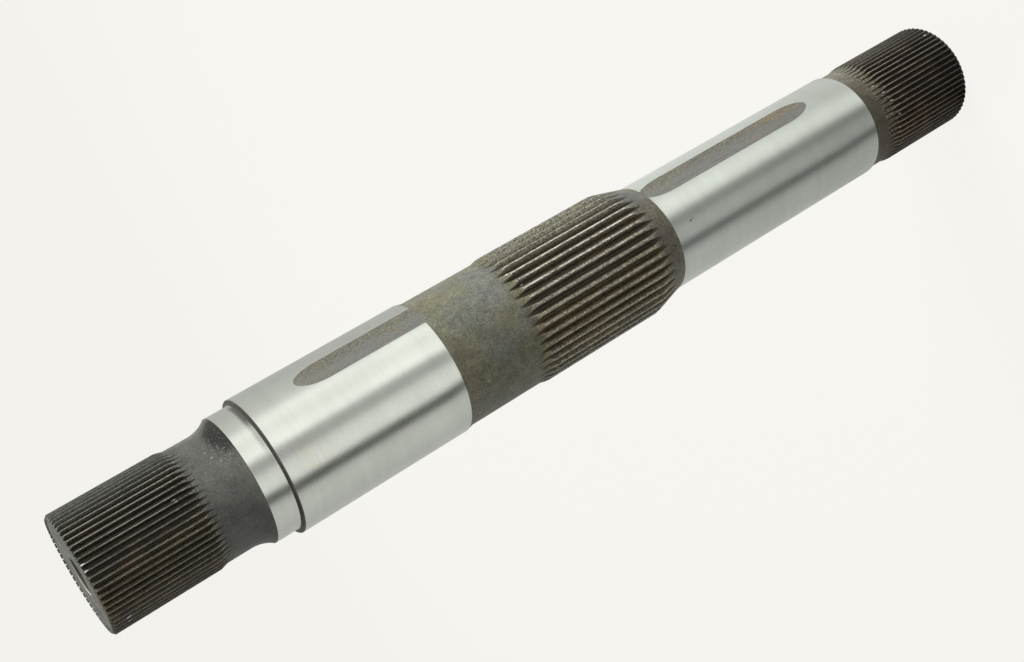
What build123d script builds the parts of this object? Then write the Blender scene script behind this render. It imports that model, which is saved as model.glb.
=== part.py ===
from build123d import *
from math import acos, cos, degrees, pi, radians, sin, sqrt, tan
import os

# A stepped transmission shaft with an involute-type spline at each end and a coarser one near the
# middle. It stands on its second end, so +Z runs up the axis towards the first end, and the sections
# below follow one another down from there. All sizes are in millimetres.

# Outside diameters
end_spline_diameter = 59.8
end_neck_diameter = 57.7
collar_diameter = 65.0
large_seat_diameter = 70.0
waist_diameter = 68.0
middle_spline_diameter = 70.0
small_seat_diameter = 60.0

# Lengths of the sections, without the tapers between them
first_spline_length = 53.1
first_neck_length = 12.4
collar_length = 13.0
large_seat_length = 93.4
waist_length = 43.7
middle_spline_length = 71.4
small_seat_length = 145.0
second_neck_length = 11.5
second_spline_length = 55.1

# Transitions between the sections
taper_angle = 15.0
flare_radius = 18.0
edge_break = 0.3
end_chamfer = 1.2

# Spline teeth with involute flanks. The tooth's height and its crest are shares of the pitch at the
# outside diameter.
end_spline_teeth = 60
middle_spline_teeth = 42
tooth_height_per_pitch = 0.51
crest_width_per_pitch = 0.24
flank_angle = 30.0
hob_radius = 40.0
# How far the hob's full depth passes the end of the full-height crests
first_hob_overrun = 0.3
middle_hob_overrun = -3.5
second_hob_overrun = 3.5

# Shallow flats ground along the two long seats by a wheel whose axle lies across the shaft.
# Their clock angles are counted from -Y towards +X.
flat_wheel_radius = 180.0
large_flat_depth = 0.7
large_flat_setback = 41.4
large_flat_clock = 45.5
small_flat_depth = 0.78
small_flat_setback = 14.7
small_flat_length = 85.2
small_flat_clock = 44.0

# Centre holes in both end faces, with a protecting 120 degree mouth
centre_mouth_diameter = 20.0
centre_cone_diameter = 17.4
centre_pilot_diameter = 8.0
centre_hole_depth = 20.0
mouth_angle = 60.0
cone_angle = 30.0
drill_point_angle = 59.0


def taper_run(radius_a, radius_b):
    return abs(radius_a - radius_b) / tan(radians(taper_angle))


end_spline_radius = end_spline_diameter / 2
end_neck_radius = end_neck_diameter / 2
collar_radius = collar_diameter / 2
large_seat_radius = large_seat_diameter / 2
waist_radius = waist_diameter / 2
middle_spline_radius = middle_spline_diameter / 2
small_seat_radius = small_seat_diameter / 2

# The flare leaves the neck along the axis and meets the collar's broken edge.
flare_rise = collar_radius - edge_break - end_neck_radius
flare_run = sqrt(flare_radius**2 - (flare_radius - flare_rise) ** 2)

# Heights of the section ends, from the second end face up
second_spline_top = second_spline_length
second_neck_bottom = second_spline_top + taper_run(end_spline_radius, end_neck_radius)
second_neck_top = second_neck_bottom + second_neck_length
small_seat_bottom = second_neck_top + taper_run(small_seat_radius, end_neck_radius)
small_seat_top = small_seat_bottom + small_seat_length
middle_spline_bottom = small_seat_top + taper_run(middle_spline_radius, small_seat_radius)
middle_spline_top = middle_spline_bottom + middle_spline_length
waist_bottom = middle_spline_top + taper_run(middle_spline_radius, waist_radius)
waist_top = waist_bottom + waist_length
large_seat_bottom = waist_top + taper_run(large_seat_radius, waist_radius)
shoulder = large_seat_bottom + large_seat_length
collar_top = shoulder + collar_length
first_neck_bottom = collar_top + flare_run
first_neck_top = first_neck_bottom + first_neck_length
first_spline_bottom = first_neck_top + taper_run(end_spline_radius, end_neck_radius)
overall_length = first_spline_bottom + first_spline_length


def centre_hole(face, inward):
    # Outline of a centre hole, from its mouth to its point on the axis
    mouth = centre_mouth_diameter / 2
    cone = centre_cone_diameter / 2
    pilot = centre_pilot_diameter / 2
    mouth_depth = (mouth - cone) / tan(radians(mouth_angle))
    cone_depth = mouth_depth + (cone - pilot) / tan(radians(cone_angle))
    point_depth = centre_hole_depth + pilot / tan(radians(drill_point_angle))
    return [
        (mouth, face),
        (cone, face + inward * mouth_depth),
        (pilot, face + inward * cone_depth),
        (pilot, face + inward * centre_hole_depth),
        (0, face + inward * point_depth),
    ]


# Half outline in the XZ plane, as (radius, height)
second_end = [
    *reversed(centre_hole(0, 1)),
    (end_spline_radius - end_chamfer, 0),
    (end_spline_radius, end_chamfer),
]
lower_outline = [
    *second_end,
    (end_spline_radius, second_spline_top),
    (end_neck_radius, second_neck_bottom),
    (end_neck_radius, second_neck_top),
    (small_seat_radius, small_seat_bottom),
    (small_seat_radius, small_seat_top),
    (middle_spline_radius, middle_spline_bottom),
    (middle_spline_radius, middle_spline_top),
    (waist_radius, waist_bottom),
    (waist_radius, waist_top),
    (large_seat_radius, large_seat_bottom),
    (large_seat_radius, shoulder - edge_break),
    (large_seat_radius - edge_break, shoulder),
    (collar_radius, shoulder),
    (collar_radius, collar_top - edge_break),
    (collar_radius - edge_break, collar_top),
]
flare_end = (end_neck_radius, first_neck_bottom)
upper_outline = [
    flare_end,
    (end_neck_radius, first_neck_top),
    (end_spline_radius, first_spline_bottom),
    (end_spline_radius, overall_length - end_chamfer),
    (end_spline_radius - end_chamfer, overall_length),
    *centre_hole(overall_length, -1),
]

outline = Curve() + [
    Polyline(*lower_outline),
    RadiusArc(lower_outline[-1], flare_end, flare_radius),
    Polyline(*upper_outline),
    Line(upper_outline[-1], lower_outline[0]),
]
shaft = revolve(Plane.XZ * make_face(outline), Axis.Z)


def spline_spaces(outside_radius, tooth_count, open_height, lift_height, neck_radius):
    # The spaces between the teeth, from beyond the open end to where the hob has lifted clear of the
    # neck. The hob's centre stands at lift_height. A tooth is centred on -Y.
    pitch = 2 * pi * outside_radius / tooth_count
    root_radius = outside_radius - pitch * tooth_height_per_pitch
    flank_slope = tan(radians(flank_angle))
    mouth_half = pitch * (1 - crest_width_per_pitch) / 2
    root_half = mouth_half - (outside_radius - root_radius) * flank_slope
    top_radius = outside_radius + edge_break
    height = top_radius - root_radius
    top_half = root_half + height * flank_slope
    # The involute is taken as a shallow arc, bowed by this much at its control point
    bow_radius = outside_radius * sin(radians(flank_angle))
    bow = (height / cos(radians(flank_angle))) ** 2 / (4 * bow_radius)
    bowed_half = (root_half + top_half) / 2 - bow * cos(radians(flank_angle))
    bowed_radius = (root_radius + top_radius) / 2 + bow * sin(radians(flank_angle))
    section_outline = Curve() + [
        Line((-root_half, root_radius), (root_half, root_radius)),
        Bezier((root_half, root_radius), (bowed_half, bowed_radius), (top_half, top_radius)),
        Line((top_half, top_radius), (-top_half, top_radius)),
        Bezier((-top_half, top_radius), (-bowed_half, bowed_radius), (-root_half, root_radius)),
    ]
    section = make_face(section_outline)
    lift_section = Plane.XY.offset(lift_height) * section
    space = extrude(lift_section, open_height - lift_height, dir=(0, 0, 1))
    towards_neck = 1 if lift_height < open_height else -1
    hob_axis = Axis((0, root_radius + hob_radius, lift_height), (towards_neck, 0, 0))
    lift = neck_radius + edge_break - root_radius
    space += revolve(lift_section, hob_axis, revolution_arc=degrees(acos(1 - lift / hob_radius)))
    pitch_angle = 360 / tooth_count
    return [Rot(Z=180 + pitch_angle * (i + 0.5)) * space for i in range(tooth_count)]


def flat(seat_radius, depth, low, high, clock):
    # What the wheel removes while its centre travels from low to high
    floor = seat_radius - depth
    half_width = sqrt(seat_radius**2 - floor**2) + edge_break
    travel = Pos((low + high) / 2, floor + flat_wheel_radius)
    along_shaft = Plane(origin=(0, 0, 0), x_dir=(0, 0, 1), z_dir=(1, 0, 0))
    swept = along_shaft * travel * SlotCenterToCenter(high - low, 2 * flat_wheel_radius)
    return Rot(Z=clock) * extrude(swept, half_width, both=True)


first_spaces = spline_spaces(
    end_spline_radius,
    end_spline_teeth,
    overall_length + end_chamfer,
    first_spline_bottom - first_hob_overrun,
    end_neck_radius,
)
middle_spaces = spline_spaces(
    middle_spline_radius,
    middle_spline_teeth,
    small_seat_top,
    middle_spline_top + middle_hob_overrun,
    waist_radius,
)
second_spaces = spline_spaces(
    end_spline_radius,
    end_spline_teeth,
    -end_chamfer,
    second_spline_top + second_hob_overrun,
    end_neck_radius,
)

large_flat_top = shoulder - large_flat_setback
large_flat = flat(
    large_seat_radius, large_flat_depth, large_seat_bottom, large_flat_top, large_flat_clock
)
small_flat_top = small_seat_top - small_flat_setback
small_flat = flat(
    small_seat_radius,
    small_flat_depth,
    small_flat_top - small_flat_length,
    small_flat_top,
    small_flat_clock,
)
small_flat = split(small_flat, Plane.XY.offset(small_seat_top), keep=Keep.BOTTOM)

splined_shaft = shaft - first_spaces - middle_spaces - second_spaces - large_flat - small_flat

os.makedirs("parts", exist_ok=True)
export_step(splined_shaft, "parts/splined_shaft.step")
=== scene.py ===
import bpy
import bmesh
from math import acos, atan2, cos, degrees, pi, radians, sin, sqrt, tan
from mathutils import Matrix, Vector


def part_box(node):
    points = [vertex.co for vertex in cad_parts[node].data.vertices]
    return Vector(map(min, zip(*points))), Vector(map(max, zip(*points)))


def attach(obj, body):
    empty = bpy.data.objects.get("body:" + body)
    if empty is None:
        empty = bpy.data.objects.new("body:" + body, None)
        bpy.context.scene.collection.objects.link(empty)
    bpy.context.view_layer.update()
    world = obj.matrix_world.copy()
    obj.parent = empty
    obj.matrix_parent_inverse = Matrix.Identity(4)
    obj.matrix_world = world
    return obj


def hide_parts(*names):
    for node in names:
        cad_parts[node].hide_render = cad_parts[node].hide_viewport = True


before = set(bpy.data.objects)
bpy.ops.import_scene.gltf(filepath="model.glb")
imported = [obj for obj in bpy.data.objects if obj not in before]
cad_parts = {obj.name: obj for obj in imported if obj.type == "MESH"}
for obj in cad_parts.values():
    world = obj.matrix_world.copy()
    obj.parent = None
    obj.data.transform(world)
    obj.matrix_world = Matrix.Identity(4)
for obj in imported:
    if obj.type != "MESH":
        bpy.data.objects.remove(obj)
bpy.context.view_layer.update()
shaftLow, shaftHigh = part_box("splined_shaft")
shaftLength = (shaftHigh[2] - shaftLow[2]) * 1000  # in millimetres, as all the shaft's sizes


class Value:
    # a node's output socket, for shader maths written as a Python expression
    def __init__(self, sheet, socket):
        self.sheet = sheet
        self.socket = socket

    def math(self, operation, *others):
        values = dict(enumerate((self,) + others))
        return self.sheet.node("Math", {"operation": operation}, values)

    def flipped(self, operation, other):
        return self.sheet.node("Math", {"operation": operation}, {0: other, 1: self})

    def __add__(self, other):
        return self.math("ADD", other)

    def __sub__(self, other):
        return self.math("SUBTRACT", other)

    def __mul__(self, other):
        return self.math("MULTIPLY", other)

    def __truediv__(self, other):
        return self.math("DIVIDE", other)

    def __pow__(self, other):
        return self.math("POWER", other)

    def __rsub__(self, other):
        return self.flipped("SUBTRACT", other)

    def __rtruediv__(self, other):
        return self.flipped("DIVIDE", other)

    __radd__ = __add__
    __rmul__ = __mul__

    def clamp(self):
        return self.math("MAXIMUM", 0.0).math("MINIMUM", 1.0)

    def rise(self, low, high):  # smooth step from 0 at low to 1 at high
        sockets = {"Value": self, "From Min": low, "From Max": high}
        return self.sheet.node("MapRange", {"interpolation_type": "SMOOTHSTEP"}, sockets)


class Sheet:
    # the nodes of one material, or of the world
    def __init__(self, owner):
        owner.use_nodes = True
        self.owner = owner
        self.tree = owner.node_tree
        self.tree.nodes.clear()

    def node(self, kind, settings={}, sockets={}, output=0):
        made = self.tree.nodes.new("ShaderNode" + kind)
        for key, value in settings.items():
            if key == "stops":
                self.setStops(made.color_ramp, value)
            else:
                setattr(made, key, value)
        for key, value in sockets.items():
            if isinstance(value, Value):
                self.tree.links.new(value.socket, made.inputs[key])
            else:
                made.inputs[key].default_value = value
        return Value(self, made.outputs[output]) if made.outputs else None

    def setStops(self, ramp, stops):
        while len(ramp.elements) < len(stops):
            ramp.elements.new(1.0)
        for element, (position, colour) in zip(ramp.elements, stops):
            element.position = position
            element.color = (*colour, 1.0)

    def mix(self, factor, first, second, blend="MIX"):
        colours = {0: factor, 6: rgba(first), 7: rgba(second)}
        return self.node("Mix", {"data_type": "RGBA", "blend_type": blend}, colours, 2)

    def noise(self, vector, scale, detail=3.0, rough=0.5, warp=0.0):
        sockets = {"Vector": vector, "Scale": scale, "Detail": detail}
        sockets.update({"Roughness": rough, "Distortion": warp})
        return self.node("TexNoise", {}, sockets)

    def stretched(self, vector, factors):
        return self.node("VectorMath", {"operation": "MULTIPLY"}, {0: vector, 1: factors})

    def tinted(self, colour, tint):
        return self.mix(1.0, colour, tint, "MULTIPLY")

    def objectPlace(self):
        return self.node("TexCoord", {}, {}, "Object")

    def axis(self, vector, index):
        return self.node("SeparateXYZ", {}, {0: vector}, index)

    def bump(self, height, strength, distance):
        sockets = {"Height": height, "Strength": strength, "Distance": distance}
        return self.node("Bump", {}, sockets)

    def metal(self, colour, roughness, normal, metallic):
        sockets = {"Base Color": colour, "Roughness": roughness, "Normal": normal}
        sockets["Metallic"] = metallic
        surface = self.node("BsdfPrincipled", {}, sockets)
        self.node("OutputMaterial", {}, {"Surface": surface})
        return self.owner


def rgba(colour):
    return (*colour, 1.0) if isinstance(colour, tuple) else colour


def newSheet(name):
    return Sheet(bpy.data.materials.new(name))


def addObject(name, data):
    item = bpy.data.objects.new(name, data)
    bpy.context.collection.objects.link(item)
    return item


# the shaft's sizes in mm and degrees; places along it are counted from the first end's face
shaft = {
    # radii
    "endSpline": 29.9, "endNeck": 28.85, "collar": 32.5, "largeSeat": 35.0, "waist": 34.0,
    "middleSpline": 35.0, "smallSeat": 30.0,
    # lengths of the sections, without the tapers between them
    "firstSplineLength": 53.1, "firstNeckLength": 12.4, "collarLength": 13.0,
    "largeSeatLength": 93.4, "waistLength": 43.7, "middleSplineLength": 71.4,
    "smallSeatLength": 145.0, "secondNeckLength": 11.5,
    # from one section to the next
    "taper": 15.0, "flareRadius": 18.0, "shoulderFillet": 1.6, "edgeBreak": 0.3, "endChamfer": 1.2,
    # teeth, their height and crest as shares of the pitch, and the wear of a coarse crest's edge
    "endTeeth": 60, "middleTeeth": 42, "toothHeight": 0.51, "crestWidth": 0.24, "flank": 30.0,
    "crestWear": 0.16,
    # the hob, and how far its full depth passes the end of the full-height crests
    "hobRadius": 40.0, "firstOverrun": 0.3, "middleOverrun": -3.5, "secondOverrun": 3.5,
    # where the hob has lifted clear, past the end of each toothed length
    "firstRunOut": 4.2, "waistRunOut": 6.0, "coneRunOut": 13.0, "secondRunOut": 6.2,
    # shallow flats left by a grinding wheel; a clock angle is counted from -Y towards +X
    "wheelRadius": 180.0, "largeFlatDepth": 0.7, "largeFlatSetback": 41.4, "largeFlatClock": 45.5,
    "smallFlatDepth": 0.78, "smallFlatSetback": 14.7, "smallFlatLength": 85.2,
    "smallFlatClock": 44.0,
    # centre holes: radii, depth and half angles
    "mouth": 10.0, "cone": 8.7, "pilot": 4.0, "holeDepth": 20.0,
    "mouthAngle": 60.0, "coneAngle": 30.0, "drillAngle": 59.0,
    # the first end is faced a little below its teeth, out to this radius
    "faceEdge": 28.25, "facingDepth": 0.55,
    # columns of the mesh: 7 to a fine tooth, 10 to a coarse one; a flat bends 24 on each side
    "columns": 420, "bentColumns": 24, "sharpAngle": 24.0,
}


def steps(start, end, count):
    # count even steps, without the start
    return [start + (end - start) * i / count for i in range(1, count + 1)]


def taperRun(radiusA, radiusB):
    return abs(radiusA - radiusB) / tan(radians(shaft["taper"]))


# places of the section ends along the shaft
firstSplineEnd = shaft["firstSplineLength"]
firstNeckStart = firstSplineEnd + taperRun(shaft["endSpline"], shaft["endNeck"])
flareStart = firstNeckStart + shaft["firstNeckLength"]
flareRise = shaft["collar"] - shaft["edgeBreak"] - shaft["endNeck"]
collarStart = flareStart + sqrt(shaft["flareRadius"]**2 - (shaft["flareRadius"] - flareRise)**2)
shoulder = collarStart + shaft["collarLength"]
largeSeatEnd = shoulder + shaft["largeSeatLength"]
waistStart = largeSeatEnd + taperRun(shaft["largeSeat"], shaft["waist"])
waistEnd = waistStart + shaft["waistLength"]
middleStart = waistEnd + taperRun(shaft["middleSpline"], shaft["waist"])
middleEnd = middleStart + shaft["middleSplineLength"]
smallSeatStart = middleEnd + taperRun(shaft["middleSpline"], shaft["smallSeat"])
smallSeatEnd = smallSeatStart + shaft["smallSeatLength"]
secondNeckStart = smallSeatEnd + taperRun(shaft["smallSeat"], shaft["endNeck"])
secondNeckEnd = secondNeckStart + shaft["secondNeckLength"]
secondSplineStart = secondNeckEnd + taperRun(shaft["endSpline"], shaft["endNeck"])


def makeSpline(outside, teeth, liftPlace, towardsNeck, reach):
    # reach is the stretch in which the spaces between the teeth cut the surface
    pitch = 2 * pi * outside / teeth
    height = pitch * shaft["toothHeight"]
    mouthHalf = pitch * (1 - shaft["crestWidth"]) / 2
    slope = tan(radians(shaft["flank"]))
    return {
        "outside": outside, "teeth": teeth, "root": outside - height, "slope": slope,
        "rootHalf": mouthHalf - height * slope, "reach": reach,
        "liftPlace": liftPlace, "towardsNeck": towardsNeck,
    }


splines = [
    makeSpline(shaft["endSpline"], shaft["endTeeth"], firstSplineEnd + shaft["firstOverrun"], 1,
               (-0.1, flareStart - 1)),
    makeSpline(shaft["middleSpline"], shaft["middleTeeth"], middleStart - shaft["middleOverrun"], -1,
               (waistEnd - 12, smallSeatStart - 0.3)),
    makeSpline(shaft["endSpline"], shaft["endTeeth"], secondSplineStart - shaft["secondOverrun"], -1,
               (secondNeckStart + 0.5, shaftLength + 0.1)),
]

flats = [
    {"clock": shaft["largeFlatClock"], "seat": shaft["largeSeat"],
     "floor": shaft["largeSeat"] - shaft["largeFlatDepth"],
     "from": shoulder + shaft["largeFlatSetback"], "to": largeSeatEnd,
     "seatFrom": shoulder + shaft["edgeBreak"], "seatTo": largeSeatEnd,
     "cut": (shoulder, waistStart + 1), "halfColumns": 13},
    {"clock": shaft["smallFlatClock"], "seat": shaft["smallSeat"],
     "floor": shaft["smallSeat"] - shaft["smallFlatDepth"],
     "from": smallSeatStart + shaft["smallFlatSetback"],
     "to": smallSeatStart + shaft["smallFlatSetback"] + shaft["smallFlatLength"],
     "seatFrom": smallSeatStart, "seatTo": smallSeatEnd,
     "cut": (smallSeatStart - 0.01, smallSeatEnd), "halfColumns": 15},
]


def outline():
    # rows of the turned surface as (place, radius), from the point of one centre hole to the other
    s = shaft
    mouthDepth = (s["mouth"] - s["cone"]) / tan(radians(s["mouthAngle"]))
    coneDepth = mouthDepth + (s["cone"] - s["pilot"]) / tan(radians(s["coneAngle"]))
    pointDepth = s["holeDepth"] + s["pilot"] / tan(radians(s["drillAngle"]))
    hole = [(pointDepth, 0.0), (s["holeDepth"], s["pilot"]), (coneDepth, s["pilot"]),
            (mouthDepth, s["cone"]), (0.0, s["mouth"]), (0.0, s["faceEdge"])]
    rim = [(0.0, s["endSpline"] - s["endChamfer"]), (s["endChamfer"], s["endSpline"])]
    rows = [(place + s["facingDepth"], radius) for place, radius in hole]
    rows += [(0.0, s["faceEdge"] + 0.12)] + rim

    def straight(end, radius, count):
        places = steps(rows[-1][0], end, count)
        radii = steps(rows[-1][1], radius, count)
        rows.extend(zip(places, radii))

    straight(firstSplineEnd, s["endSpline"], 6)
    straight(firstNeckStart, s["endNeck"], 8)
    straight(firstNeckStart + s["firstRunOut"], s["endNeck"], 9)
    straight(flareStart, s["endNeck"], 3)
    flareAngle = acos(1 - flareRise / s["flareRadius"])
    for angle in steps(0, flareAngle, 9):
        rise = s["flareRadius"] * (1 - cos(angle))
        rows.append((flareStart + s["flareRadius"] * sin(angle), s["endNeck"] + rise))
    rows.append((collarStart + s["edgeBreak"], s["collar"]))
    fillet = s["shoulderFillet"]
    straight(shoulder - fillet, s["collar"], 2)
    for angle in steps(0, pi / 2, 7):
        rows.append((shoulder - fillet * (1 - sin(angle)), s["collar"] + fillet * (1 - cos(angle))))
    rows.append((shoulder, s["largeSeat"] - s["edgeBreak"]))
    rows.append((shoulder + s["edgeBreak"], s["largeSeat"]))
    rows += [(place, s["largeSeat"]) for place in flatPlaces(flats[0])]
    straight(waistStart, s["waist"], 6)
    straight(waistEnd - s["waistRunOut"], s["waist"], 2)
    straight(waistEnd, s["waist"], 10)
    straight(middleStart, s["middleSpline"], 6)
    straight(middleStart - s["middleOverrun"], s["middleSpline"], 5)
    straight(middleEnd, s["middleSpline"], 8)
    slope = tan(radians(s["taper"]))
    straight(middleEnd + s["coneRunOut"], s["middleSpline"] - s["coneRunOut"] * slope, 18)
    straight(smallSeatStart - 0.05, s["smallSeat"] + 0.05 * slope, 3)
    rows.append((smallSeatStart, s["smallSeat"]))
    rows += [(place, s["smallSeat"]) for place in flatPlaces(flats[1])]
    straight(secondNeckStart, s["endNeck"], 2)
    straight(secondNeckEnd - s["secondRunOut"], s["endNeck"], 2)
    straight(secondNeckEnd, s["endNeck"], 12)
    straight(secondSplineStart, s["endSpline"], 8)
    straight(shaftLength - s["endChamfer"], s["endSpline"], 6)
    rows += [(shaftLength - place, radius) for place, radius in reversed(hole + rim[:1])]
    return rows


def flatReach(flat):
    # how far past its floor the wheel still touches the seat
    depth = flat["seat"] - flat["floor"]
    return sqrt(shaft["wheelRadius"]**2 - (shaft["wheelRadius"] - depth)**2)


def flatPlaces(flat):
    # rows along a seat: crowded towards the tips of its flat
    reach = flatReach(flat)
    low = flat["from"] - reach
    high = flat["to"] + reach
    crowd = [reach * (k / 14)**2 for k in range(15)]
    places = [low - 0.2] + [low + past for past in crowd]
    places += steps(flat["from"], flat["to"], 6)
    places += [high - past for past in reversed(crowd[:-1])] + [high + 0.2]
    inside = [place for place in places if flat["seatFrom"] + 0.01 < place < flat["seatTo"] - 0.01]
    return inside + [flat["seatTo"]]


def pastFloor(flat, place):
    # how far a place lies beyond the level floor, on either side
    return max(flat["from"] - place, place - flat["to"], 0.0)


def flatFloor(flat, place):
    # the floor's distance from the axis: it rises where the wheel has run out
    wheel = shaft["wheelRadius"]
    return flat["floor"] + wheel - sqrt(wheel**2 - pastFloor(flat, place)**2)


def flatHalf(flat, place, radius):
    # half the angle that the flat takes up, in degrees
    within = flat["cut"][0] <= place <= flat["cut"][1]
    if not within or pastFloor(flat, place) > flatReach(flat) + 0.5:
        return 0.0
    ratio = flatFloor(flat, place) / radius
    return degrees(acos(ratio)) if ratio < 1 else 0.0


def interpolate(value, points):
    for (a, ya), (b, yb) in zip(points, points[1:]):
        if a <= value <= b:
            return ya + (yb - ya) * (value - a) / (b - a)
    return value


def onFlat(column, place, radius):
    # a plain row: the columns beside a flat crowd onto its edges, and those on it lie on its floor
    pitch = 360 / shaft["columns"]
    bent = shaft["bentColumns"]
    angle = column * pitch
    for flat in flats:
        middle = round(flat["clock"] / pitch)
        away = column - middle
        if not flat["cut"][0] <= place <= flat["cut"][1] or abs(away) > bent:
            continue
        half = flatHalf(flat, place, radius)
        spread = max(half, 0.25)  # the columns stay apart where there is no flat
        edge = flat["halfColumns"]
        turns = [(-bent, -bent * pitch), (-edge, -spread), (edge, spread), (bent, bent * pitch)]
        turn = interpolate(away, turns)
        if abs(away) > edge:
            drift = (flat["clock"] - middle * pitch) * (bent - abs(away)) / (bent - edge)
            return radius, middle * pitch + turn + drift
        angle = flat["clock"] + turn
        if half > 0:
            return flatFloor(flat, place) / cos(radians(turn)), angle
    return radius, angle


def onTooth(spline, column, place, radius):
    # a row across a spline: each column keeps to its own line on the tooth, such as a crest's edge
    perTooth = shaft["columns"] // spline["teeth"]
    tooth, slot = divmod(column, perTooth)
    past = max((place - spline["liftPlace"]) * spline["towardsNeck"], 0.0)
    lift = shaft["hobRadius"] - sqrt(shaft["hobRadius"]**2 - past**2)
    root = spline["root"] + lift
    depth = max(radius - root, 0.0)
    rootHalf = spline["rootHalf"]
    mouthHalf = rootHalf + depth * spline["slope"]
    flankHalf = (mouthHalf + rootHalf) / 2
    pitchAngle = 360 / spline["teeth"]
    crestHalf = radians(pitchAngle) * radius / 2
    # lines from the crest's middle to the space's, as distance from the space's middle and height
    lines = [(crestHalf, 1.0), (mouthHalf, 1.0), (flankHalf, 0.52), (rootHalf, 0.0)]
    if perTooth > 7:  # a coarse tooth's crest is worn at its edges
        wear = min(depth / 0.3, 1.0)
        lines = [(crestHalf, 1.0), (mouthHalf + shaft["crestWear"] * wear, 1.0),
                 (mouthHalf - 0.02 * wear, 1.0 - 0.05 * wear), (flankHalf, 0.53),
                 (rootHalf, 0.0), (0.0, 0.0)]
    fromSpace, height = lines[min(slot, perTooth - slot)]
    floor = min(root, radius)
    placed = floor + (radius - floor) * height
    angle = tooth * pitchAngle
    if slot > 0:
        spaceAngle = degrees(fromSpace / placed)
        side = -1 if slot <= perTooth // 2 else 1
        angle = (tooth + 0.5) * pitchAngle + side * spaceAngle
    groove = min(depth / (spline["outside"] - spline["root"]), 1.0)
    return placed, angle, height, groove, 1.0 if slot == 0 else 0.0


finishes = ["groundSteel", "waistSkin", "neckSkin", "firstTeeth", "middleTeeth", "secondTeeth",
            "groundFlat", "turnedFace", "holeLip", "holeWall", "paintedShadeShoulder", "paintedEdgeHighlight"]


def paintFaces(bm):
    # each face takes the finish of its section, before the teeth and flats are shaped
    def isOnFlat(flat, column, place, radius):
        away = abs(column - round(flat["clock"] / 360 * shaft["columns"]))
        return away < flat["halfColumns"] and flatHalf(flat, place, radius) > 0

    for face in bm.faces:
        centre = face.calc_center_median()
        place = shaftLength - centre.z
        radius = sqrt(centre.x**2 + centre.y**2)
        column = degrees(atan2(centre.x, -centre.y)) / 360 * shaft["columns"]
        if radius < shaft["cone"]:
            finish = "holeWall"
        elif radius < shaft["mouth"]:
            finish = "holeLip"
        elif radius < shaft["faceEdge"] or place > shaftLength - 0.01:
            finish = "turnedFace"
        elif place < firstNeckStart + 4:
            finish = "firstTeeth"
        elif place < collarStart + shaft["edgeBreak"]:
            finish = "neckSkin"
        elif largeSeatEnd - 0.9 < place < waistEnd - 5:
            finish = "waistSkin"
        elif waistEnd - 5 <= place < smallSeatStart:
            finish = "middleTeeth"
        elif place > smallSeatEnd - 1.0:
            finish = "secondTeeth"
        else:
            finish = "groundSteel"
        if any(isOnFlat(flat, column, place, radius) for flat in flats):
            finish = "groundFlat"
        # painted shade: the shoulder's step face and the top of its fillet take a near-black finish
        if shoulder - 0.8 < place < shoulder + 0.1 and radius > shaft["collar"] + 0.15:
            finish = "paintedShadeShoulder"
        # painted highlight: the chamfer on the large seat's edge by the shoulder takes a near-white
        # finish
        if abs(place - shoulder - shaft["edgeBreak"] / 2) < 0.04:
            finish = "paintedEdgeHighlight"
        face.material_index = finishes.index(finish)


def sortByVertices(bm):
    # merging leaves the faces and edges in an order that changes from run to run
    bm.verts.index_update()
    count = len(bm.verts)

    def rank(item):
        ids = [v.index for v in item.verts]
        return (min(ids) * count + max(ids)) * 4 * count + sum(ids)

    bm.faces.sort(key=rank)
    bm.edges.sort(key=rank)


def makeShaftMesh():
    s = shaft
    rows = outline()
    bm = bmesh.new()
    line = [bm.verts.new((0.0, -radius, shaftLength - place)) for place, radius in rows]
    for a, b in zip(line, line[1:]):
        bm.edges.new((a, b))
    bmesh.ops.spin(bm, geom=bm.verts[:] + bm.edges[:], cent=(0, 0, 0), axis=(0, 0, 1),
                   dvec=(0, 0, 0), angle=2 * pi, steps=s["columns"], use_merge=True,
                   use_duplicate=False)
    bmesh.ops.remove_doubles(bm, verts=bm.verts, dist=0.0005)
    paintFaces(bm)
    toothHeight = bm.verts.layers.float.new("toothHeight")
    groove = bm.verts.layers.float.new("groove")
    ridge = bm.verts.layers.float.new("ridge")
    for v in bm.verts:
        place = shaftLength - v.co.z
        radius = sqrt(v.co.x**2 + v.co.y**2)
        v[toothHeight] = 1.0
        if radius < s["faceEdge"] + 0.05:
            continue
        column = round(degrees(atan2(v.co.x, -v.co.y)) / 360 * s["columns"]) % s["columns"]
        placed, angle = onFlat(column, place, radius)
        for spline in splines:
            if spline["reach"][0] <= place <= spline["reach"][1]:
                shaped = onTooth(spline, column, place, radius)
                placed, angle, v[toothHeight], v[groove], v[ridge] = shaped
                if place < 0.01 and v[toothHeight] < 0.4:  # the roots end level with the face
                    v.co.z -= s["facingDepth"]
        v.co.x = placed * sin(radians(angle))
        v.co.y = -placed * cos(radians(angle))
    # a tooth's columns meet where it has run out
    bmesh.ops.remove_doubles(bm, verts=bm.verts, dist=0.002)
    bmesh.ops.recalc_face_normals(bm, faces=bm.faces)
    for face in bm.faces:
        face.smooth = True
    for edge in bm.edges:
        edge.smooth = edge.calc_face_angle(0.0) < radians(s["sharpAngle"])
    bmesh.ops.scale(bm, vec=(0.001, 0.001, 0.001), verts=bm.verts)
    sortByVertices(bm)
    mesh = bpy.data.meshes.new("splinedShaft")
    bm.to_mesh(mesh)
    bm.free()
    print("shaft:", len(rows), "rows,", len(mesh.polygons), "faces")
    return mesh


def clockAngle(sheet, place):
    # the angle about the axis in degrees, from -Y towards +X
    x, y = sheet.axis(place, 0), sheet.axis(place, 1)
    return x.math("ARCTAN2", y * -1.0) * degrees(1)


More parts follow.
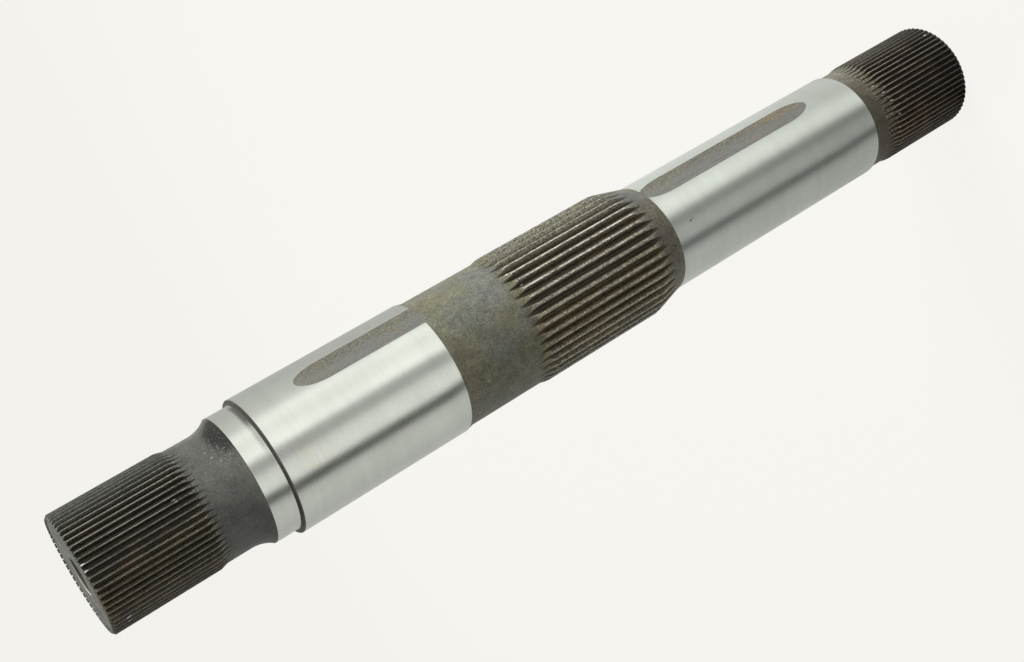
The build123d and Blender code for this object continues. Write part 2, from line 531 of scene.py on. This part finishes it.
def fromFirstEnd(sheet, place):
    return sheet.axis(place, 2) * -1000.0 + shaftLength


def hump(value, low, full, fade, gone):
    # a smooth rise from low to full and fall from fade to gone
    return value.rise(low, full) * (1.0 - value.rise(fade, gone))


def litSide(clock, start, full):
    # 0 to 1 towards the side that faces the lamp, and back to 0 round the back
    return hump(clock, start, full, 105.0, 165.0)


def spots(sheet, place, clock, marks, ragged=0.5):
    # marks, each as place from the first end, clock angle, half length, half width and lean
    height = sheet.axis(place, 2)
    rough = sheet.noise(place, 1300.0, 3.0, 0.6) * ragged * 2 - ragged
    aroundRadius = 32.0  # turns an angle into mm, near enough for every section
    total = None
    for fromEnd, angle, halfLength, halfWidth, lean in marks:
        along = height * -1000.0 + (shaftLength - fromEnd)
        around = (clock - angle) * (radians(1) * aroundRadius) - along * lean
        away = ((along / halfLength) ** 2.0 + (around / halfWidth) ** 2.0) ** 0.5 + rough
        inside = 1.0 - away.rise(0.6, 1.15)
        total = inside if total is None else total.math("MAXIMUM", inside)
    return total


groundLook = {
    "light": (0.655, 0.68, 0.62), "dull": (0.61, 0.635, 0.575), "cool": (0.635, 0.68, 0.628),
    "coolFrom": (0.22, 0.36),  # heights in m between the small seat and the large one
    "warmPlace": [(112.0, -10.0, 20.0, 8.0, 0.0)], "warm": (0.66, 0.63, 0.50),
    # a stain, a scratch and two pits on the small seat: marks, raggedness, strength and colour
    "marks": [
        ([(320.0, -10.0, 2.2, 2.6, 0.0)], 0.8, 0.35, (0.40, 0.31, 0.22)),
        ([(348.0, -5.5, 2.2, 0.22, 0.9)], 0.2, 0.45, (0.33, 0.34, 0.31)),
        ([(338.6, -5.0, 0.9, 0.6, 0.3), (340.4, -3.8, 0.4, 0.3, 0.0)], 0.8, 0.8, (0.10, 0.10, 0.095)),
    ],
    # painted reflection of the shoulder's dark face: a dark ring on the collar beside the shoulder,
    # as mm before it
    "ring": (4.2, 2.0, 0.5), "shoulderReflectionTint": (0.14, 0.145, 0.13),
    "roughness": 0.22,
}


def groundSteel():
    # cylindrically ground: fine marks run round the shaft
    look = groundLook
    sheet = newSheet("groundSteel")
    place = sheet.objectPlace()
    clock = clockAngle(sheet, place)
    marks = sheet.noise(sheet.stretched(place, (60.0, 60.0, 2600.0)), 1.0, 4.0, 0.6)
    bands = sheet.noise(sheet.stretched(place, (16.0, 16.0, 260.0)), 1.0, 3.0, 0.55)
    cloud = sheet.noise(place, 60.0, 2.0, 0.5)
    ripple = sheet.noise(place, 230.0, 1.5, 0.5)
    dullness = (bands * 0.5 + cloud * 0.5).rise(0.36, 0.66)
    colour = sheet.mix(sheet.axis(place, 2).rise(*look["coolFrom"]), look["cool"], look["light"])
    colour = sheet.mix(dullness, colour, look["dull"])
    warm = bands.rise(0.50, 0.66) * spots(sheet, place, clock, look["warmPlace"], 0.3)
    colour = sheet.mix(warm * 0.5, colour, look["warm"])
    for spotMarks, ragged, strength, tint in look["marks"]:
        colour = sheet.mix(spots(sheet, place, clock, spotMarks, ragged) * strength, colour, tint)
    # painted reflection of the shoulder's dark face, on the collar's side towards the lamp
    start, full, end = (shoulder - before for before in look["ring"])
    ring = hump(fromFirstEnd(sheet, place), start, full, end, shoulder)
    towardsLamp = clock.rise(2.0, 18.0) * 0.5 + clock.rise(30.0, 44.0) * 0.5
    towardsLamp = towardsLamp * (1.0 - clock.rise(64.0, 78.0))
    colour = sheet.mix(ring * towardsLamp * 0.9, colour, look["shoulderReflectionTint"])
    roughness = marks * 0.02 + cloud * 0.09 + look["roughness"]
    relief = marks * 0.07 + bands * 0.12 + cloud * 0.40 + ripple * 0.41
    return sheet.metal(colour, roughness, sheet.bump(relief, 0.26, 0.00008), 1.0)


# skins: colours, then painted shade and tinted patches as marks, colour and strength
waistLook = {
    "skin": (0.119, 0.115, 0.071), "tint": (0.107, 0.111, 0.089),
    "rust": (0.158, 0.120, 0.060), "rustShare": 0.4, "speck": (0.30, 0.28, 0.22),
    "patchScale": 48.0, "gritty": 0.65, "mottle": 0.42,
    "shades": [
        # painted shade: a darker, cooler patch on the lit front of the waist
        ([(208.0, 25.0, 22.0, 12.0, 0.0)], (0.090, 0.096, 0.083), 0.6),
        # bluish patches of the skin
        ([(224.0, 42.0, 10.0, 18.0, 0.0), (210.0, -8.0, 9.0, 10.0, 0.0)],
         (0.104, 0.112, 0.112), 0.42),
        # a darker patch on the front of the cone, and a bluish one beside it
        ([(319.0, 8.0, 11.0, 30.0, 0.0)], (0.078, 0.066, 0.055), 0.6),
        ([(320.0, 48.0, 9.0, 9.0, 0.0)], (0.098, 0.102, 0.112), 0.5),
    ],
    "marks": [(199.0, -34.0, 0.9, 0.7, 0.0), (214.0, 14.0, 0.6, 0.4, 0.0)],
}
neckLook = {
    "skin": (0.076, 0.080, 0.073), "tint": (0.094, 0.096, 0.086),
    "rust": (0.115, 0.10, 0.066), "rustShare": 0.4, "speck": (0.22, 0.22, 0.19),
    "patchScale": 70.0, "gritty": 0.42, "mottle": 0.22,
    "shades": [
        # painted shade on the lamp's side of the neck, darkest on the flare by the collar
        ([(65.0, 49.0, 14.0, 16.0, 0.0)], (0.052, 0.053, 0.047), 0.75),
        ([(79.5, 51.0, 8.0, 17.0, 0.0)], (0.007, 0.007, 0.006), 0.95),
    ],
    "marks": [(70.0, 31.0, 0.9, 0.6, 0.3), (72.5, 24.0, 0.6, 0.5, 0.0),
              (69.0, 39.0, 0.7, 0.5, 0.2), (71.0, -42.0, 0.7, 0.5, 0.0)],
}
secondNeckLook = {
    "skin": (0.064, 0.057, 0.034), "tint": (0.074, 0.069, 0.047),
    "rust": (0.095, 0.070, 0.038), "rustShare": 0.4, "speck": (0.22, 0.20, 0.16),
    "patchScale": 70.0, "gritty": 0.5, "mottle": 0.3, "shades": [],
}


def skinColour(sheet, place, clock, look):
    # mottled heat-treated skin with a fine grain
    patches = sheet.noise(place, look["patchScale"], 5.0, 0.62, 0.5)
    blotch = sheet.noise(place, 330.0, 4.0, 0.7, 0.8)
    mottle = sheet.noise(place, 190.0, 4.0, 0.75)
    grit = sheet.noise(place, 1150.0, 3.0, 0.8)
    specks = sheet.noise(place, 1300.0, 1.0, 0.5)
    colour = sheet.mix(patches.rise(0.42, 0.60), look["skin"], look["tint"])
    colour = sheet.mix(blotch.rise(0.50, 0.68) * look["rustShare"], colour, look["rust"])
    # painted shade and tinted patches, as listed in each look
    for marks, tint, strength in look["shades"]:
        colour = sheet.mix(spots(sheet, place, clock, marks, 0.7) * strength, colour, tint)
    gritTone = grit.rise(0.38, 0.62) * look["gritty"] + (1.0 - look["gritty"] / 2)
    mottleTone = mottle.rise(0.34, 0.66) * look["mottle"] + (1.0 - look["mottle"] / 2)
    colour = sheet.tinted(colour, gritTone * mottleTone)
    colour = sheet.mix(specks.rise(0.66, 0.72) * 0.5, colour, look["speck"])
    return colour, grit, patches


def steelSkin(name, look):
    sheet = newSheet(name)
    place = sheet.objectPlace()
    clock = clockAngle(sheet, place)
    colour, grit, patches = skinColour(sheet, place, clock, look)
    colour = sheet.mix(spots(sheet, place, clock, look["marks"]) * 0.6, colour, look["speck"])
    turning = sheet.noise(sheet.stretched(place, (60.0, 60.0, 1500.0)), 1.0, 2.0, 0.5)
    roughness = grit * 0.14 + patches * 0.12 + 0.42
    return sheet.metal(colour, roughness, sheet.bump(grit * 0.7 + turning * 0.3, 0.5, 0.0001), 0.1)


# teeth: colours of flanks, crests and the paler flanks on the lamp's side, then tints for the roots
# and painted light and shade for two sides of the shaft, a painted glint, flecks from and to a place,
# and bare spots
firstTeethLook = {
    "flank": (0.035, 0.033, 0.024), "stain": (0.060, 0.049, 0.032),
    "lampSideFlank": (0.056, 0.056, 0.048), "lampSideFrom": (22.0, 58.0),
    "crest": (0.29, 0.28, 0.24), "crestShare": 0.0, "wear": (0.30, 0.64), "gritty": 1.1,
    "deep": (0.42, 0.40, 0.32), "below": (1.40, 1.32, 1.02), "before": (0.62, 0.62, 0.58),
    "crestPaintedLightBelow": 0.35, "crestPaintedShadeBefore": -0.34,
    "skin": neckLook, "gleam": (0.30, 0.29, 0.25), "flecks": (44.0, 54.0),
    "marks": [(46.5, 15.0, 1.1, 0.28, 0.0), (8.0, -59.5, 1.6, 0.3, 0.0), (8.0, -66.0, 1.4, 0.3, 0.0),
              (1.2, 0.3, 1.0, 0.35, 0.0), (1.2, 6.3, 1.0, 0.35, 0.0)],
}
middleTeethLook = {
    "flank": (0.070, 0.063, 0.047), "stain": (0.094, 0.078, 0.054),
    "lampSideFlank": (0.188, 0.182, 0.148), "lampSideFrom": (24.0, 60.0),
    "crest": (0.245, 0.228, 0.185), "crestShare": 1.0, "wear": (0.32, 0.70), "gritty": 1.2,
    "deep": (0.60, 0.52, 0.34), "below": (1.45, 1.34, 1.05), "before": (1.04, 1.0, 0.95),
    "crestPaintedLightBelow": 0.25, "crestPaintedShadeBefore": 0.0,
    "skin": waistLook, "gleam": (0.85, 0.84, 0.76), "flecks": (246.0, 300.0),
    "marks": [(235.0, 36.0, 0.9, 0.45, 0.0), (238.0, 22.0, 0.8, 0.3, 0.2)],
}
secondTeethLook = {
    "flank": (0.029, 0.022, 0.013), "stain": (0.066, 0.044, 0.024),
    "lampSideFlank": (0.070, 0.061, 0.045), "lampSideFrom": (42.0, 66.0),
    "crest": (0.32, 0.29, 0.235), "crestShare": 0.06, "wear": (0.32, 0.66), "gritty": 1.1,
    "deep": (0.48, 0.44, 0.36), "below": (1.20, 1.04, 0.86), "before": (0.92, 0.84, 0.78),
    "crestPaintedLightBelow": 0.45, "crestPaintedShadeBefore": -0.05,
    "skin": secondNeckLook, "gleam": (0.34, 0.29, 0.21), "flecks": (482.0, 497.0),
    "marks": [(541.5, 42.5, 1.1, 0.5, 0.0), (489.0, 8.0, 1.2, 0.3, 0.0), (491.0, -4.0, 1.4, 0.3, 0.0),
              (486.0, 20.0, 1.0, 0.3, 0.0), (493.0, -22.0, 1.1, 0.3, 0.0)],
    # darker towards the second end, and painted light: a paler, bluer skin on the lamp's side
    "darker": (494.0, 545.0), "darkerTint": (0.42, 0.46, 0.44), "paintedLightTint": (2.0, 2.15, 2.45),
}
fleckColour = (0.52, 0.47, 0.38)
bareColour = (0.62, 0.60, 0.55)


def toothedSteel(name, look):
    # teeth that are dark in the spaces and rubbed bare along the crests
    sheet = newSheet(name)
    place = sheet.objectPlace()
    clock = clockAngle(sheet, place)
    fromEnd = fromFirstEnd(sheet, place)
    height, groove, ridge = (
        sheet.node("Attribute", {"attribute_name": layer}, {}, "Fac")
        for layer in ("toothHeight", "groove", "ridge")
    )
    skin, grit, patches = skinColour(sheet, place, clock, look["skin"])
    # painted light: the skin is paler on the lamp's side
    if "paintedLightTint" in look:
        skin = sheet.mix(litSide(clock, 18.0, 62.0), skin, sheet.tinted(skin, look["paintedLightTint"]))
    lengthwise = sheet.noise(sheet.stretched(place, (900.0, 900.0, 90.0)), 1.0, 4.0, 0.65)
    cut = groove.rise(0.1, 0.6)

    # flanks and roots, paler on the side that faces the lamp
    onCrest = look["crestShare"]
    onLampSide = litSide(clock, *look["lampSideFrom"])
    flank = sheet.mix(patches.rise(0.44, 0.60), look["flank"], look["stain"])
    flank = sheet.mix(onLampSide, flank, look["lampSideFlank"])
    bareTop = 1.0 - groove.rise(0.45, 1.0) * (1.0 - onCrest)
    inSpace = (1.0 - height.rise(0.60, 1.0) * bareTop) * groove.rise(0.0, 0.25)
    colour = sheet.mix(inSpace, skin, flank)
    gritty = look["gritty"]
    gritTone = grit.rise(0.38, 0.62) * (groove * gritty) + (1.0 - groove * (gritty / 2))
    colour = sheet.tinted(colour, gritTone)
    # painted light and shade by side: lighter and tinted on the side turned from the lamp (below),
    # darker on the end splines' band facing the camera (before); deep darkens towards the roots
    below = hump(clock, -72.0, -54.0, -16.0, -2.0) * cut
    before = hump(clock, -4.0, 6.0, 22.0, 36.0) * cut
    deep = (1.0 - height.rise(0.0, 0.8)) * cut
    for factor, tint in ((below, "below"), (before, "before"), (deep, "deep")):
        colour = sheet.mix(factor, colour, sheet.tinted(colour, look[tint]))

    # crests: a thin line on the fine teeth, the whole top on the coarse ones
    line = ridge.rise(0.50, 1.0) * (1.0 - onCrest) + height.rise(0.90, 1.0) * onCrest
    broken = lengthwise * (0.9 - onCrest * 0.4) + grit * (0.2 + onCrest * 0.5)
    wear = line * broken.rise(*look["wear"]) * groove.rise(0.5, 0.95)
    wear = wear * (1.0 - onLampSide * 0.75)
    crest = sheet.mix(onCrest, look["crest"], sheet.tinted(look["crest"], gritTone))
    # painted light and shade on the rubbed crests by side: lighter turned from the lamp, darker
    # facing the camera
    crestTone = below * look["crestPaintedLightBelow"]
    crestTone = crestTone + hump(clock, -6.0, 4.0, 40.0, 56.0) * look["crestPaintedShadeBefore"] + 1.0
    colour = sheet.mix(wear, colour, sheet.tinted(crest, crestTone))
    # a painted glint along the crest lines on the side towards the lamp
    paintedGlint = ridge.rise(0.55, 0.95) * (lengthwise * 0.8 + grit * 0.2).rise(0.38, 0.60)
    paintedGlint = paintedGlint * hump(clock, 0.0, 10.0, 38.0, 50.0) * groove.rise(0.8, 1.0)
    colour = sheet.mix(paintedGlint, colour, look["gleam"])

    # flecks towards the neck, and single bare spots
    low, high = look["flecks"]
    nearNeck = hump(fromEnd, low - 3.0, low + 1.0, high - 1.0, high + 4.0)
    fleck = nearNeck * height.rise(0.9, 1.0) * grit.rise(0.57, 0.64) * clock.rise(-60.0, -40.0)
    colour = sheet.mix(fleck * (1.0 - clock.rise(45.0, 60.0)) * 0.6, colour, fleckColour)
    if "darker" in look:
        farther = fromEnd.rise(*look["darker"])
        colour = sheet.mix(farther, colour, sheet.tinted(colour, look["darkerTint"]))
    colour = sheet.mix(spots(sheet, place, clock, look["marks"]), colour, bareColour)
    roughness = 0.50 - wear * 0.14 + grit * 0.1
    relief = grit * 0.6 + lengthwise * 0.4
    return sheet.metal(colour, roughness, sheet.bump(relief, 0.5, 0.0001), 0.25)


flatLook = {
    "low": (0.160, 0.162, 0.150), "high": (0.150, 0.146, 0.114), "line": (0.085, 0.083, 0.073),
    "brown": (0.185, 0.158, 0.105), "rust": (0.27, 0.205, 0.115),
    "rustTop": (0.118, 0.150),  # heights in m at which the rust at the small flat's tip ends
}


def groundFlat():
    # the shallow flats: a browner rough side and a greyer one with fine lengthwise lines
    look = flatLook
    sheet = newSheet("groundFlat")
    place = sheet.objectPlace()
    lines = sheet.noise(sheet.stretched(place, (1400.0, 1400.0, 26.0)), 1.0, 3.0, 0.6)
    grain = sheet.noise(place, 1150.0, 3.0, 0.8)
    patches = sheet.noise(place, 130.0, 4.0, 0.65, 0.8)
    across = sheet.axis(place, 0) + sheet.axis(place, 1)
    upper = (across + patches * 0.008).rise(0.001, 0.009)
    colour = sheet.mix(upper, look["low"], look["high"])
    colour = sheet.mix(patches.rise(0.5, 0.68) * 0.5, colour, look["brown"])
    nearTip = 1.0 - sheet.axis(place, 2).rise(*look["rustTop"])
    colour = sheet.mix(nearTip * grain.rise(0.46, 0.60) * upper * 0.6, colour, look["rust"])
    colour = sheet.mix(lines.rise(0.48, 0.7) * 0.5, colour, look["line"])
    grainTone = grain.rise(0.38, 0.62) * (upper * 0.5 + 0.35) + (0.84 - upper * 0.25)
    colour = sheet.tinted(colour, grainTone)
    roughness = upper * 0.12 + grain * 0.12 + 0.34
    relief = lines * 0.4 + grain * 0.6
    return sheet.metal(colour, roughness, sheet.bump(relief, 0.35, 0.00006), 0.5)


# turned faces: light and dark colour, metallic
turnedLooks = {
    "turnedFace": ((0.125, 0.130, 0.108), (0.042, 0.041, 0.033), 0.2),
    "holeLip": ((0.42, 0.41, 0.37), (0.20, 0.19, 0.16), 0.2),
    "holeWall": ((0.035, 0.032, 0.027), (0.015, 0.013, 0.010), 0.0),
    # painted highlight on the chamfer at the large seat's edge
    "paintedEdgeHighlight": ((0.80, 0.80, 0.76), (0.6, 0.6, 0.56), 0.5),
    # painted shade on the shoulder's step face
    "paintedShadeShoulder": ((0.022, 0.022, 0.020), (0.010, 0.010, 0.008), 0.0),
}
# darker places on an end face, as distances from the axis in m
endFace = {
    "rim": (0.0276, 0.0284), "rimTint": (0.035, 0.034, 0.028),
    "mouth": (0.0090, 0.0095), "mouthTint": (0.025, 0.023, 0.019),
    "smudgeAt": (-0.0108, -0.0085, 0.0), "smudge": (0.0045, 0.007),
    "smudgeTint": (0.085, 0.040, 0.028),
    "ringsPerMetre": 9000.0,
}


def turnedFace(name):
    # fine rings about the axis, on the end faces and in the centre holes
    light, dark, metallic = turnedLooks[name]
    sheet = newSheet(name)
    place = sheet.objectPlace()
    flatPlace = sheet.stretched(place, (1.0, 1.0, 0.0))
    fromAxis = sheet.node("VectorMath", {"operation": "LENGTH"}, {0: flatPlace}, "Value")
    grain = sheet.noise(place, 700.0, 4.0, 0.6)
    patches = sheet.noise(place, 120.0, 4.0, 0.6, 0.5)
    rings = (fromAxis * endFace["ringsPerMetre"] + grain * 1.5).math("SINE") * 0.5 + 0.5
    broad = sheet.noise(sheet.node("CombineXYZ", {}, {0: fromAxis * 420.0}), 1.0, 3.0, 0.6)
    streaks = sheet.noise(sheet.stretched(place, (80.0, 300.0, 0.0)), 1.0, 3.0, 0.7)
    colour = sheet.mix(patches.rise(0.4, 0.7), light, dark)
    worked = (rings * 0.1 + broad * 0.4 + streaks * 0.5).rise(0.42, 0.56)
    colour = sheet.mix(worked * 0.85, colour, dark)
    rim = (fromAxis + grain * 0.0006).rise(*endFace["rim"])
    colour = sheet.mix(rim * 0.85, colour, endFace["rimTint"])
    places = {0: flatPlace, 1: endFace["smudgeAt"]}
    fromSmudge = sheet.node("VectorMath", {"operation": "DISTANCE"}, places, "Value")
    smudge = 1.0 - (fromSmudge + grain * 0.004).rise(*endFace["smudge"])
    colour = sheet.mix(smudge * 0.9, colour, endFace["smudgeTint"])
    colour = sheet.mix(1.0 - fromAxis.rise(*endFace["mouth"]), colour, endFace["mouthTint"])
    relief = sheet.bump(rings * 0.5 + grain * 0.5, 0.3, 0.00005)
    return sheet.metal(colour, grain * 0.15 + 0.50, relief, metallic)


def makeShaft():
    piece = addObject("dressedShaft", makeShaftMesh())
    made = {
        "groundSteel": groundSteel(),
        "waistSkin": steelSkin("waistSkin", waistLook),
        "neckSkin": steelSkin("neckSkin", neckLook),
        "firstTeeth": toothedSteel("firstTeeth", firstTeethLook),
        "middleTeeth": toothedSteel("middleTeeth", middleTeethLook),
        "secondTeeth": toothedSteel("secondTeeth", secondTeethLook),
        "groundFlat": groundFlat(),
    }
    for name in turnedLooks:
        made[name] = turnedFace(name)
    for finish in finishes:
        piece.data.materials.append(made[finish])
    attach(piece, "root")
    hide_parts("splined_shaft")
    print("finishes:", len(finishes))


studio = {
    "ground": (0.921, 0.905, 0.871), "floorSize": 400.0, "plainShare": 0.97, "fill": 0.13,
    # a round tent that lights the metal's reflections, in m; its brightness by clock angle, below
    # and above tentChange
    "tentRadius": 0.10, "tentHeight": 0.66, "tentChange": (0.18, 0.30), "tentPeak": 1.45,
    "upperTent": [(-180, 0.68), (-163, 0.60), (-105, 0.57), (-75, 0.70), (-56, 0.70), (-52, 0.62),
                  (-48, 0.0), (-36.5, 0.0), (-34.5, 1.08), (-20, 1.0), (-9, 0.90), (-2, 0.42),
                  (10, 0.42), (14.5, 1.40), (20, 1.42), (30, 1.20), (40, 1.13), (50, 1.37),
                  (56, 1.25), (64, 0.82), (75, 0.74), (105, 0.62), (140, 0.58), (180, 0.68)],
    "lowerTent": [(-180, 0.75), (-127, 0.60), (-105, 0.57), (-72, 0.56), (-62, 0.54), (-52, 0.42),
                  (-46, 0.12), (-37, 0.12), (-33, 0.50), (-20, 0.52), (-8, 0.48), (-2, 0.30),
                  (9, 0.30), (14, 0.62), (18, 0.98), (26, 1.18), (42, 1.17), (50, 1.00),
                  (60, 0.86), (105, 0.93), (140, 0.90), (180, 0.80)],
    "footTone": 0.83, "footHeight": 0.17,  # the tent is dimmer at its foot
    "tint": (1.0, 1.0, 0.985),
    # lamps: place, size in m and power in W
    "lamps": [("keyLamp", (1.22, -0.30, 1.1), 0.8, 44.0),
              ("sideLamp", (-1.1, -0.4, 0.9), 0.9, 1.8),
              ("backLamp", (0.1, 1.3, 1.2), 1.0, 14.0)],
}


# near the first end, on the -Y side, and rolled so that the shaft lies across: m, degrees and mm
view = {
    "back": 0.64649, "aboveTop": 0.05376, "down": 24.059, "left": 0.416, "roll": -120.75,
    "lens": 50, "sensor": 36,
}


def makeCamera():
    data = bpy.data.cameras.new("shaftCamera")
    data.lens = view["lens"]
    data.sensor_width = view["sensor"]
    item = addObject("shaftCamera", data)
    aside = Matrix.Rotation(radians(view["left"]), 4, "Z")
    down = Matrix.Rotation(radians(90 - view["down"]), 4, "X")
    roll = Matrix.Rotation(radians(view["roll"]), 4, "Z")
    place = (0, -view["back"], shaftHigh[2] + view["aboveTop"])
    item.matrix_world = Matrix.Translation(place) @ aside @ down @ roll
    bpy.context.scene.camera = item
    print("camera: lens", data.lens, "mm")


def seenShare(sheet):
    # 1 for the rays that should see the plain background
    camera, glossy, transmission = (
        sheet.node("LightPath", {}, {}, "Is " + ray + " Ray")
        for ray in ("Camera", "Glossy", "Transmission")
    )
    return (camera + glossy + transmission).clamp()


def makeFloor():
    bm = bmesh.new()
    bmesh.ops.create_grid(bm, x_segments=1, y_segments=1, size=studio["floorSize"] / 2)
    mesh = bpy.data.meshes.new("studioFloor")
    bm.to_mesh(mesh)
    bm.free()
    floor = addObject("studioFloor", mesh)
    sheet = newSheet("paleFloor")
    matt = sheet.node("BsdfDiffuse", {}, {"Color": rgba(studio["ground"])})
    plain = sheet.node("Emission", {}, {"Color": rgba(studio["ground"]), "Strength": 1.0})
    share = seenShare(sheet) * studio["plainShare"]
    surface = sheet.node("MixShader", {}, {0: share, 1: matt, 2: plain})
    sheet.node("OutputMaterial", {}, {"Surface": surface})
    mesh.materials.append(sheet.owner)
    print("floor:", studio["floorSize"], "m wide")


def makeTent():
    # a round light tent that only the metal's reflections see
    bm = bmesh.new()
    bmesh.ops.create_cone(bm, cap_ends=True, segments=180, radius1=studio["tentRadius"],
                          radius2=studio["tentRadius"], depth=studio["tentHeight"])
    bmesh.ops.translate(bm, verts=bm.verts, vec=(0, 0, studio["tentHeight"] / 2 + 0.0005))
    lid = [face for face in bm.faces if face.calc_center_median().z > studio["tentHeight"] * 0.9]
    bmesh.ops.delete(bm, geom=lid, context="FACES")
    mesh = bpy.data.meshes.new("lightTent")
    bm.to_mesh(mesh)
    bm.free()
    tent = addObject("lightTent", mesh)
    tent.visible_camera = False
    tent.visible_diffuse = False
    tent.visible_shadow = False
    sheet = newSheet("tentLight")
    place = sheet.objectPlace()
    height = sheet.axis(place, 2)
    turn = sheet.axis(place, 0).math("ARCTAN2", sheet.axis(place, 1) * -1.0) / (2 * pi) + 0.5

    def ring(levels):
        stops = [(angle / 360 + 0.5, (level / studio["tentPeak"],) * 3) for angle, level in levels]
        return sheet.node("ValToRGB", {"stops": stops}, {0: turn}, "Color")

    change = height.rise(*studio["tentChange"])
    light = sheet.mix(change, ring(studio["lowerTent"]), ring(studio["upperTent"]))
    foot = studio["footTone"]
    light = sheet.tinted(light, height.rise(0.0, studio["footHeight"]) * (1 - foot) + foot)
    light = sheet.tinted(light, studio["tint"])
    glow = sheet.node("Emission", {}, {"Color": light, "Strength": studio["tentPeak"]})
    sheet.node("OutputMaterial", {}, {"Surface": glow})
    mesh.materials.append(sheet.owner)
    print("tent:", len(mesh.polygons), "faces")


def makeLights():
    world = bpy.data.worlds.new("studioWorld")
    bpy.context.scene.world = world
    sheet = Sheet(world)
    seen = sheet.node("Background", {}, {"Color": rgba(studio["ground"]), "Strength": 1.0})
    fill = sheet.node("Background", {}, {"Color": (1, 1, 1, 1), "Strength": studio["fill"]})
    surface = sheet.node("MixShader", {}, {0: seenShare(sheet), 1: fill, 2: seen})
    sheet.node("OutputWorld", {}, {"Surface": surface})
    for name, place, size, power in studio["lamps"]:
        data = bpy.data.lights.new(name, "AREA")
        data.size = size
        data.energy = power
        lamp = addObject(name, data)
        lamp.location = place
        towards = Vector((0, 0, shaftHigh[2] / 2)) - Vector(place)
        lamp.rotation_euler = towards.to_track_quat("-Z", "Y").to_euler()
        lamp.visible_glossy = False
    print("lights:", len(studio["lamps"]), "lamps")


makeShaft()
makeCamera()
makeFloor()
makeTent()
makeLights()
bpy.context.scene.view_settings.view_transform = "Standard"
